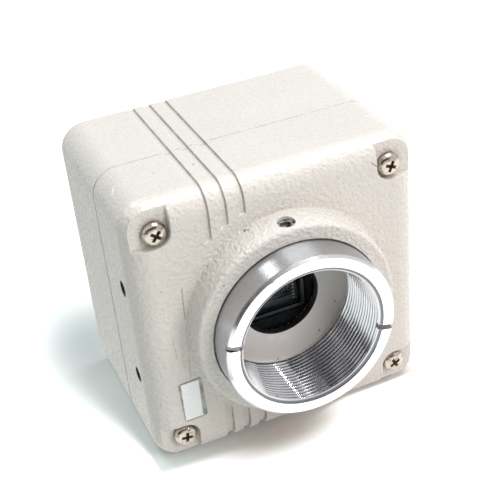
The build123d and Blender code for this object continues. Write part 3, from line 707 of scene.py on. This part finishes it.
def turning_tree():
    """Turns a marked profile round the Y axis, and cuts a helical thread where it is marked."""
    t = Tree("turned_ring")
    steps, points = t.ask("Steps round", "Int"), t.ask("Profile points", "Int")
    pitch, depth = t.ask("Thread pitch", "Float"), t.ask("Thread depth", "Float")
    cut_width, cut_depth = t.ask("Slot width", "Float"), t.ask("Slot depth", "Float")
    cut_turn, cut_reach = t.ask("Slot angle", "Float"), t.ask("Slot reach", "Float")
    finish = t.ask("Material", "Material")

    # A grid with a column for each step and a row for each point of the profile
    corners = {"Vertices X": t.plus(steps, 1), "Vertices Y": points}
    grid = t.put("GeometryNodeMeshGrid", corners)["Mesh"]
    index = t.put("GeometryNodeInputIndex")[0]
    row = t.calc("FLOORED_MODULO", index, points)
    column = t.calc("FLOOR", t.ratio(t.plus(index, 0.5), points))
    turned_share = t.ratio(column, steps)
    angle = t.plus(t.times(turned_share, tau), seam_angle)
    profile = t.source.outputs["Geometry"]
    place = t.put("GeometryNodeInputPosition")[0]
    mark = t.put("GeometryNodeInputNamedAttribute", {"Name": "thread"}, data_type="FLOAT")[0]
    marked = t.at(profile, mark, row, "FLOAT")
    parts = t.put("ShaderNodeSeparateXYZ", {0: t.at(profile, place, row, "FLOAT_VECTOR")})
    radius, along = parts[0], parts[1]

    # The thread's groove, a wave with a flat crest and a flat root that advances by one pitch a turn
    phase = t.minus(t.ratio(along, pitch), turned_share)
    wave = t.off(t.times(t.calc("FRACT", phase), 2.0), 1.0)
    ends = {"Value": wave, "From Min": groove_start, "From Max": groove_full}
    groove = t.times(t.put("ShaderNodeMapRange", ends)[0], depth, marked)
    radius = t.plus(radius, groove)
    x = t.times(radius, t.calc("COSINE", angle))
    z = t.times(radius, t.calc("SINE", angle))
    moved = t.put("ShaderNodeCombineXYZ", {"X": x, "Y": along, "Z": z})[0]
    turned = t.put("GeometryNodeSetPosition", {"Geometry": grid, "Position": moved})[0]
    closed = t.put("GeometryNodeMergeByDistance", {"Geometry": turned, "Distance": 2 * weld})[0]

    # The slots, cut by a box across the rim
    size = t.put("ShaderNodeCombineXYZ", {"X": cut_reach, "Y": t.times(cut_depth, 2.0), "Z": cut_width})
    box = t.put("GeometryNodeMeshCube", {"Size": size[0]})["Mesh"]
    turn = t.put("ShaderNodeCombineXYZ", {"Y": cut_turn})[0]
    cutter = t.put("GeometryNodeTransform", {"Geometry": box, "Rotation": turn})[0]
    both = {"Mesh 1": closed, "Mesh 2": cutter}
    cut = t.put("GeometryNodeMeshBoolean", both, operation="DIFFERENCE", solver="MANIFOLD")
    return t.finish(cut[0], finish)


def run_tree(source, group, name, **inputs):
    """The plain mesh that a tree makes of a source mesh with these inputs, as a new object."""
    holder = add_object(name + "_source", source)
    modifier = give(holder.modifiers.new("tree", "NODES"), node_group=group)
    for item in group.interface.items_tree:
        key = item.name.replace(" ", "_")
        if item.in_out == "INPUT" and key in inputs:
            modifier[item.identifier] = inputs[key]
    evaluated = holder.evaluated_get(bpy.context.evaluated_depsgraph_get())
    mesh = bpy.data.meshes.new_from_object(evaluated)
    mesh.name = name
    bpy.data.objects.remove(holder)
    print(name, "faces:", len(mesh.polygons))
    return add_object(name, mesh)


def crease(piece, angle):
    """Marks the edges sharper than an angle, and points all faces outwards."""
    work = open_mesh(piece.data)
    bmesh.ops.recalc_face_normals(work, faces=work.faces)
    shade_smooth(work, angle)
    close_mesh(work, piece.data)


turning = turning_tree()
print("turning tree nodes:", len(turning.nodes))

# %% The lens ring
mouth_radius = 13.0 * mm
mouth_depth = 0.45 * mm
mouth_edge = 0.08 * mm
core_radius = 12.35 * mm
relief_radius = 12.95 * mm
relief_length = 1.3 * mm
web_thickness = 1.2 * mm
aperture_radius = 7.0 * mm
rim_chamfer = 0.52 * mm
filter_low, filter_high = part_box("ir_filter")
recess_radius = filter_high[0] + 0.05 * mm
ring_back = ring_high[1]
web_back = filter_low[1] - 0.05 * mm
web_front = web_back - web_thickness
thread_end = web_front - relief_length
thread_pitch = 25.4 * mm / 32
rows_per_turn = 11


def ring_profile():
    """Points of the ring's section as (radius, depth, thread mark), from the rim round to the rim."""
    plain = [(mouth_radius + mouth_edge, 0.0), (ring_radius - rim_chamfer, 0.0), (ring_radius, rim_chamfer)]
    plain += [(ring_radius, depth * mm) for depth in (0.8, 1.05, 1.25, 1.6, 3.0, 8.0)]
    plain += [(ring_radius, ring_back), (recess_radius, ring_back), (recess_radius, web_back)]
    plain += [(aperture_radius + 0.1 * mm, web_back), (aperture_radius, web_back - 0.1 * mm)]
    plain += [(aperture_radius, web_front + 0.12 * mm), (aperture_radius + 0.12 * mm, web_front)]
    plain += [(relief_radius, web_front), (relief_radius, thread_end)]
    points = [(radius, depth, 0) for radius, depth in plain]
    length = thread_end - mouth_depth
    rows = int(length / thread_pitch * rows_per_turn)
    for row in range(rows + 1):
        mark = 0.0 if row in (0, rows) else 1.0
        points.append((core_radius, thread_end - length * row / rows, mark))
    points += [(mouth_radius, mouth_depth - 0.3 * mm, 0), (mouth_radius, mouth_edge, 0)]
    return points + points[:1]


section = ring_profile()
profile = bpy.data.meshes.new("ring_profile")
profile.from_pydata([(r, y, 0) for r, y, mark in section], [(i, i + 1) for i in range(len(section) - 1)], [])
marks = profile.attributes.new("thread", "FLOAT", "POINT")
marks.data.foreach_set("value", [mark for r, y, mark in section])
lens_ring = run_tree(
    profile,
    turning,
    "lens_ring",
    Steps_round=224,
    Profile_points=len(section),
    Thread_pitch=thread_pitch,
    Thread_depth=0.42 * mm,
    Slot_width=slot_width,
    Slot_depth=slot_depth,
    Slot_angle=slot_angle,
    Slot_reach=34.0 * mm,
    Material=aluminium,
)
crease(lens_ring, 40.0)
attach(lens_ring, "mount_ring")
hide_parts("lens_mount_ring")

# %% [markdown]
# ## Corner screws
# The four screws have domed heads with a cross recess. One screw is turned from its profile and the recess
# is cut by two tapered bars. A second tree then places it at each of four points, with its own turn about
# its axis, because a hand-driven screw stops at any angle.

# %% One screw
head_height = 1.6 * mm
head_top = 0.75 * mm
head_rim = 0.5 * mm
dome_steps = 9
seat = screws_low[1] + head_height
shank_radius = 1.25 * mm
shank_end = screws_high[1] - seat
shank_point = 0.4 * mm
columns_round = 40
recess_size = (2.5 * mm, 0.62 * mm, 0.95 * mm)
recess_taper = 0.42


def tapered_bar(length, width, depth, small):
    """A bar along X that narrows as it goes down +Y, used to cut the recess."""
    corners = []
    for y, share in ((-0.3 * mm, 1.0), (depth, small)):
        for x, z in ((-1, -1), (1, -1), (1, 1), (-1, 1)):
            corners.append((x * length / 2 * share, y, z * width / 2 * (share * 0.4 + 0.6)))
    faces = [(0, 1, 2, 3), (7, 6, 5, 4), (0, 4, 5, 1), (1, 5, 6, 2), (2, 6, 7, 3), (3, 7, 4, 0)]
    bar = bpy.data.meshes.new("recess_bar")
    bar.from_pydata(corners, [], faces)
    work = open_mesh(bar)
    bmesh.ops.recalc_face_normals(work, faces=work.faces)
    return close_mesh(work, bar)


def one_screw():
    """A cross-recess screw with its head on the origin, pointing along +Y."""
    outline = [(0.0, -head_height)]
    for step in range(dome_steps + 1):
        turn = pi / 2 * step / dome_steps
        radius = head_top + (head_radius - head_top) * sin(turn)
        outline.append((radius, -head_rim - (head_height - head_rim) * cos(turn)))
    outline += [(head_radius, -0.12 * mm), (head_radius - 0.1 * mm, 0.0), (shank_radius, 0.0)]
    outline += [(shank_radius, shank_end - shank_point), (shank_radius - shank_point, shank_end)]
    outline.append((0.0, shank_end))
    work = bmesh.new()
    columns = []
    for column in range(columns_round):
        turn = tau * column / columns_round
        columns.append([work.verts.new((r * cos(turn), y, r * sin(turn))) for r, y in outline])
    for here, there in zip(columns, columns[1:] + columns[:1]):
        for row in range(len(outline) - 1):
            work.faces.new((here[row], there[row], there[row + 1], here[row + 1]))
    bmesh.ops.remove_doubles(work, verts=work.verts, dist=weld)
    bmesh.ops.dissolve_degenerate(work, edges=work.edges, dist=weld)
    bmesh.ops.recalc_face_normals(work, faces=work.faces)
    screw = add_object("one_screw", close_mesh(work, bpy.data.meshes.new("one_screw")))
    extras = [screw]
    for index in range(2):
        bar = tapered_bar(*recess_size, recess_taper)
        bar.transform(Matrix.Rotation(index * pi / 2, 4, "Y"))
        bar.transform(Matrix.Translation((0, -head_height, 0)))
        extras.append(add_object("recess_cutter", bar))
        cut = screw.modifiers.new("recess", "BOOLEAN")
        give(cut, operation="DIFFERENCE", solver="EXACT", object=extras[-1])
    result = bpy.data.meshes.new_from_object(screw.evaluated_get(bpy.context.evaluated_depsgraph_get()))
    for extra in extras:
        bpy.data.objects.remove(extra)
    print("screw faces:", len(result.polygons))
    return result


# %% The screws in their places
def placing_tree():
    """Puts one object on each point of a mesh, turned by the point's own angle about Y."""
    t = Tree("place_screws")
    item, finish = t.ask("Screw", "Object"), t.ask("Material", "Material")
    shape = t.put("GeometryNodeObjectInfo", {"Object": item})["Geometry"]
    turn = t.put("GeometryNodeInputNamedAttribute", {"Name": "turn"}, data_type="FLOAT")[0]
    rotation = t.put("ShaderNodeCombineXYZ", {"Y": turn})[0]
    inputs = {"Points": t.source.outputs["Geometry"], "Instance": shape, "Rotation": rotation}
    return t.finish(t.put("GeometryNodeInstanceOnPoints", inputs)[0], finish)


screw_turns = {(-1, 1): 38.0, (1, 1): 22.0, (-1, -1): 8.0, (1, -1): 62.0}
screw_points = bpy.data.meshes.new("screw_points")
screw_points.from_pydata([(sx * screw_offset, seat, sz * screw_offset) for sx, sz in screw_turns], [], [])
turns = screw_points.attributes.new("turn", "FLOAT", "POINT")
turns.data.foreach_set("value", [radians(angle) for angle in screw_turns.values()])
pattern_screw = add_object("pattern_screw", one_screw())
screws = run_tree(screw_points, placing_tree(), "cross_screws", Screw=pattern_screw, Material=screw_nickel)
bpy.data.objects.remove(pattern_screw)
crease(screws, 35.0)
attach(screws, "camera")
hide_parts("corner_screws")

# %% [markdown]
# ## The small white sticker
# A bare paper sticker sits flat on the front face, left of the boss, and leans two degrees. Its solid is a
# plain card, so this piece gives it round corners, an edge that lifts a hair at one corner, and paper with
# grime creeping in from its edges, with a wider dark band along the right edge that is grime and painted
# shadow.

# %% The sticker
label_width = 4.2 * mm
label_height = 8.4 * mm
label_tilt = radians(-2.0)
label_corner = 0.5 * mm
label_thickness = 0.1 * mm
label_columns, label_rows = 14, 28
label_centre = (label_low + label_high) / 2


def paper_material():
    """Smooth white paper, soiled at its edges, with a wider band at the right one that is dirt and painted
    shadow.
    """
    r = Recipe("sticker_paper")
    half_x, half_z = label_width / 2, label_height / 2
    offset = r.minus(r.x, label_centre[0])
    side = r.step(r.calc("ABSOLUTE", offset), half_x - 0.34 * mm, half_x - 0.16 * mm)
    # The wide band at the right edge is dirt and a painted shadow
    side = r.most(side, r.step(offset, half_x - 0.85 * mm, half_x - 0.6 * mm))
    end = r.step(r.off(r.z, label_centre[2]), half_z - 0.34 * mm, half_z - 0.16 * mm)
    edge = r.times(r.most(side, end), r.step(r.noise(900.0, 2.0), 0.35, 0.6, 0.75, 1.0))
    fibres = r.step(r.noise(3000.0, 4.0, 0.6), 0.3, 0.7)
    white = r.mix(fibres, (0.95, 0.95, 0.94), (0.90, 0.90, 0.89))
    r.set(
        Base_Color=r.mix(edge, white, (0.15, 0.14, 0.13)),
        Roughness=r.step(fibres, 0.0, 1.0, 0.22, 0.32),
        Specular_IOR_Level=1.0,
        Normal=r.bump(fibres, 0.006 * mm),
    )
    return r.material


def rounded(x, z):
    """A point of a rectangle, drawn in to its round corner."""
    past_x = max(0.0, abs(x) - (label_width / 2 - label_corner))
    past_z = max(0.0, abs(z) - (label_height / 2 - label_corner))
    if past_x > 0 and past_z > 0:
        share = 1 - max(past_x, past_z) / (past_x**2 + past_z**2) ** 0.5
        x -= past_x * share * (1 if x > 0 else -1)
        z -= past_z * share * (1 if z > 0 else -1)
    return x, z


def sticker():
    """A thin round-cornered card, lifted at one corner."""
    work = bmesh.new()
    points = {}
    for column in range(label_columns + 1):
        for row in range(label_rows + 1):
            x, z = (column / label_columns - 0.5) * label_width, (row / label_rows - 0.5) * label_height
            x, z = rounded(x, z)
            lift = 0.03 * mm * max(0.0, x / label_width + z / label_height - 0.55)
            points[column, row] = work.verts.new((x, -lift, z))
    for c in range(label_columns):
        for r in range(label_rows):
            work.faces.new((points[c, r], points[c + 1, r], points[c + 1, r + 1], points[c, r + 1]))
    made = bmesh.ops.extrude_face_region(work, geom=work.faces[:])
    for vertex in made["geom"]:
        if isinstance(vertex, bmesh.types.BMVert):
            vertex.co.y = label_thickness
    bmesh.ops.recalc_face_normals(work, faces=work.faces)
    shade_smooth(work, 40)
    turn = Matrix.Rotation(label_tilt, 4, "Y")
    place = Matrix.Translation((label_centre[0], label_low[1] + 0.005 * mm, label_centre[2]))
    bmesh.ops.transform(work, matrix=place @ turn, verts=work.verts)
    mesh = close_mesh(work, bpy.data.meshes.new("paper_sticker"))
    mesh.materials.append(paper_material())
    return add_object("paper_sticker", mesh)


label = sticker()
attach(label, "camera")
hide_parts("blank_label")
print("sticker faces:", len(label.data.polygons))

# %% [markdown]
# ## Inside the ring
# Through the aperture the filter glass, the dark die and its gold bond pads show. Glass is a thin clear
# layer with a faint colour, and the die is polished silicon with fine stripes of circuitry. The black shield
# round the sensor swallows what light gets past it.

# %% Glass, die and ceramic
def clear_glass(name, tint):
    """Thin clear coated glass with a little dust."""
    r = Recipe(name)
    dust = r.step(r.noise(600.0, 4.0, 0.65), 0.5, 0.8)
    r.set(
        Base_Color=r.mix(dust, tint, (0.75, 0.76, 0.76)),
        Roughness=r.step(dust, 0.0, 1.0, 0.0, 0.02),
        Transmission_Weight=1.0,
        IOR=1.22,
    )
    return r.material


def silicon_die():
    """Polished dark silicon with rows of circuitry."""
    r = Recipe("silicon_die")
    wave = {"Vector": r.place, "Scale": 900.0, "Distortion": 0.0}
    stripes, rows = (r.put("ShaderNodeTexWave", wave, bands_direction=axis)["Fac"] for axis in "XZ")
    blocks = r.step(r.cells(700.0), 0.2, 0.5)
    tone = r.plus(r.times(stripes, rows, 0.6), r.times(blocks, 0.4))
    r.set(
        Base_Color=r.mix(tone, (0.010, 0.012, 0.020), (0.028, 0.032, 0.05)),
        Roughness=r.step(tone, 0.0, 1.0, 0.10, 0.2),
        Specular_IOR_Level=0.35,
        Normal=r.bump(tone, 0.002 * mm),
    )
    return r.material


def plain_surface(name, colour, shade, rough, grain, relief, metallic=0.0):
    """A moulded, fired or printed surface with a fine grain and uneven tone."""
    r = Recipe(name)
    fine = r.noise(grain, 3.0, 0.6)
    r.set(
        Base_Color=r.mix(r.step(r.noise(160.0, 4.0), 0.3, 0.7), colour, shade),
        Metallic=metallic,
        Roughness=r.step(fine, 0.3, 0.7, rough - 0.06, rough + 0.06),
        Normal=r.bump(fine, relief * mm),
    )
    return r.material


def solder_resist():
    """Green circuit board with copper tracks under the lacquer and tinned pads."""
    r = Recipe("green_board")
    turned = r.put("ShaderNodeMapping", {"Vector": r.place, "Rotation": (0, radians(45), 0)})[0]
    bricks = {"Vector": r.place, "Scale": 160.0, "Mortar Size": 0.02, "Brick Width": 0.6, "Row Height": 0.2}
    tracks = r.put("ShaderNodeTexBrick", bricks)["Fac"]
    slanted = r.fade(r.cells(420.0, turned, "DISTANCE_TO_EDGE"), 0.02, 0.05)
    copper = r.most(tracks, r.times(slanted, 0.6))
    vias = r.fade(r.cells(330.0), 0.1, 0.13)
    green = r.mix(copper, (0.012, 0.09, 0.045), (0.03, 0.17, 0.08))
    r.set(
        Base_Color=r.mix(vias, green, (0.62, 0.62, 0.58)),
        Roughness=r.step(r.noise(900.0, 2.0), 0.3, 0.7, 0.26, 0.38),
        Normal=r.bump(r.most(copper, vias), 0.02 * mm),
    )
    return r.material


# For each plain surface its two colours, roughness, grain, relief in millimetres and metallic share
plain_looks = {
    "dark_ceramic": ((0.075, 0.08, 0.09), (0.045, 0.05, 0.06), 0.55, 2500.0, 0.008),
    "matte_black_plastic": ((0.008, 0.008, 0.010), (0.005, 0.005, 0.006), 0.85, 1800.0, 0.02),
    "insert_plastic": ((0.03, 0.03, 0.032), (0.02, 0.02, 0.022), 0.45, 2200.0, 0.01),
    "chip_epoxy": ((0.035, 0.035, 0.037), (0.022, 0.022, 0.024), 0.6, 2600.0, 0.012),
    "can_aluminium": ((0.74, 0.74, 0.75), (0.62, 0.62, 0.63), 0.3, 1900.0, 0.004, 1.0),
    "grey_ferrite": ((0.10, 0.10, 0.105), (0.06, 0.06, 0.065), 0.7, 2000.0, 0.03),
}
plain = {name: plain_surface(name, *look) for name, look in plain_looks.items()}
finishes = (
    (clear_glass("filter_glass", (0.93, 0.97, 1.0)), "ir_filter"),
    (clear_glass("cover_glass", (0.96, 0.98, 0.98)), "sensor_cover_glass"),
    (silicon_die(), "sensor_die"),
    (gold_plate, "sensor_bond_pads sensor_leads connector_pins"),
    (plain["dark_ceramic"], "sensor_package"),
    (plain["matte_black_plastic"], "light_shield"),
    (solder_resist(), "sensor_board video_board power_board connector_board"),
    (connector_nickel, "front_spacers rear_spacers board_screws connector_shell connector_nut"),
    (plain["insert_plastic"], "connector_insert front_header rear_header connector_header"),
    (plain["chip_epoxy"], "processor_chip memory_chips"),
    (plain["can_aluminium"], "oscillator_can power_capacitors"),
    (plain["grey_ferrite"], "power_inductors"),
    (dark_steel, "lock_screw"),
    (spring_steel, "filter_spring_ring"),
)
for finish, names in finishes:
    for name in names.split():
        for slot in solids[name].material_slots:
            slot.material = finish
print("solids with a finish:", sum(len(names.split()) for finish, names in finishes))

# %% [markdown]
# ## The table
# The object stands on a pale table that runs out of the picture, so that it is white wherever no shadow falls.
# The table is a wide sheet that shades like matt paper and also glows a little to the camera and in
# reflections. The glow makes the open table white. It is weaker close to the housing, most at the left and
# behind, and the paper is darker there and under the ring: a painted shadow added to the soft shadow that the
# lamps cast.

# %% The table
table_size = 6.0
table_gap = 0.02 * mm
glow_in_shadow, glow_in_open = 0.12, 0.80
glow_mirrored = 0.75


def table_material():
    """Matt pale paper that looks white to the camera, apart from its shadows, part of which are painted."""
    r = Recipe("pale_table")
    r.tree.nodes.remove(r.shader)
    grain = r.step(r.noise(300.0, 3.0), 0.3, 0.7)
    # A painted tint for the shadows: the paper is greenish at the left and warm at the right
    tint = r.mix(r.step(r.x, -25.0 * mm, 15.0 * mm), (0.75, 0.81, 0.78), (0.82, 0.78, 0.74))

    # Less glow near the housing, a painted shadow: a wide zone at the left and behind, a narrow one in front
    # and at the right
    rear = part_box("rear_housing")[1][1] - 3.0 * mm
    reach_left = r.step(r.y, 10.0 * mm, 55.0 * mm, 1.5 * mm, 22.0 * mm)
    past_left = r.ratio(r.minus(-half_width, r.x), reach_left)
    past_right = r.ratio(r.minus(r.x, half_width), 2.0 * mm)
    reach_front = r.step(r.x, -4.0 * mm, 12.0 * mm, 3.5 * mm, 1.2 * mm)
    start_front = r.step(r.x, -4.0 * mm, 12.0 * mm, front_face + 0.5 * mm, front_face + 2.0 * mm)
    past_front = r.ratio(r.minus(start_front, r.y), reach_front)
    past_back = r.ratio(r.minus(r.y, rear), 50.0 * mm)
    past_x = r.most(past_left, past_right, 0.0)
    past_y = r.most(past_front, past_back, 0.0)
    open_table = r.step(r.radius(past_x, past_y), 0.03, 1.0)

    # Painted shadow: darker paper where the shadow falls back and to the left, and under the ring
    painted_shadow_behind = r.times(r.minus(1.0, open_table), r.step(r.y, 38.0 * mm, 60.0 * mm))
    ring_x = r.ratio(r.plus(r.x, 4.0 * mm), 20.0 * mm)
    ring_y = r.ratio(r.minus(r.y, front_face), 10.5 * mm)
    painted_shadow_under_ring = r.fade(r.radius(ring_x, ring_y), 0.1, 1.0)
    tint = r.mix(painted_shadow_behind, tint, (0.44, 0.49, 0.475))
    tint = r.mix(painted_shadow_under_ring, tint, (0.44, 0.38, 0.33))
    tint = r.mix(r.times(grain, 0.1), tint, (0.70, 0.70, 0.68))
    open_table = r.times(open_table, r.minus(1.0, painted_shadow_under_ring))

    path = r.put("ShaderNodeLightPath")
    direct = r.step(open_table, 0.0, 1.0, glow_in_shadow, glow_in_open)
    mirrored = r.calc("ADD", path["Is Glossy Ray"], path["Is Transmission Ray"], clamp=True)
    strength = r.plus(r.times(path["Is Camera Ray"], direct), r.times(mirrored, glow_mirrored))
    glow = r.put("ShaderNodeEmission", {"Color": (1, 1, 1, 1), "Strength": strength})
    paper = r.put("ShaderNodeBsdfDiffuse", {"Color": tint})
    both = r.put("ShaderNodeAddShader", {0: paper[0], 1: glow[0]})
    r.feed(r.output.inputs["Surface"], both[0])
    return r.material


table_place = Matrix.Translation((0, 0, floor_height - table_gap))
table = sheet("table", table_size, table_size, table_place, table_material())
print("table at", round(floor_height / mm, 2), "mm")
